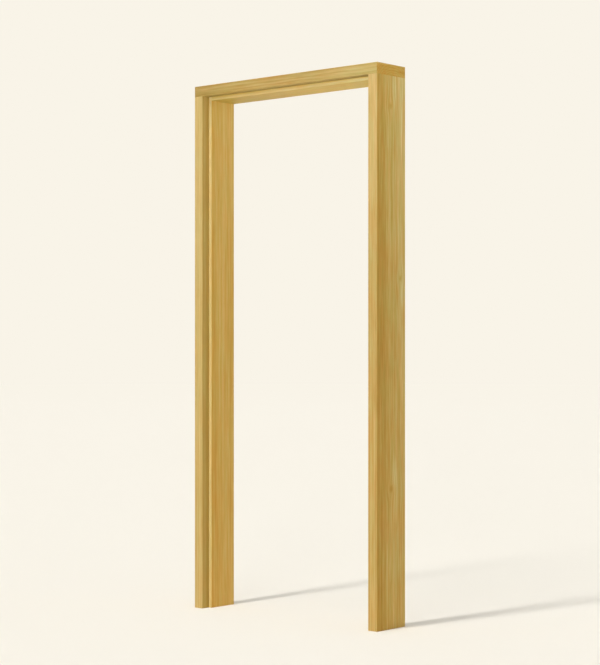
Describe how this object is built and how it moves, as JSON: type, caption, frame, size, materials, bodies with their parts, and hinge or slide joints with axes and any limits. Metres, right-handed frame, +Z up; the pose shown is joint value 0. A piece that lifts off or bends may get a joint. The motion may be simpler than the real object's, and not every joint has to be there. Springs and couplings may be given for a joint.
{
  "type": "wooden door frame",
  "caption": "Rebated timber door frame for a single leaf: upright jambs carry a screwed head, and a stop stands out behind an open-fronted rebate all round.",
  "frame": {"origin": "on the floor, at the middle of the frame's width and depth", "axes": "+Z up, +X to the right as seen from the rebated front, +Y from the front to the back of the wall"},
  "size_m": [0.94, 0.17, 2.1],
  "materials": {
    "jamb_timber": "satin",
    "head_timber": "satin",
    "zinc_steel": "satin"
  },
  "bodies": {
    "root": {"head": "head_timber", "left_jamb": "jamb_timber", "right_jamb": "jamb_timber", "left_corner_screws": "zinc_steel", "right_corner_screws": "zinc_steel"}
  },
  "joints": []
}
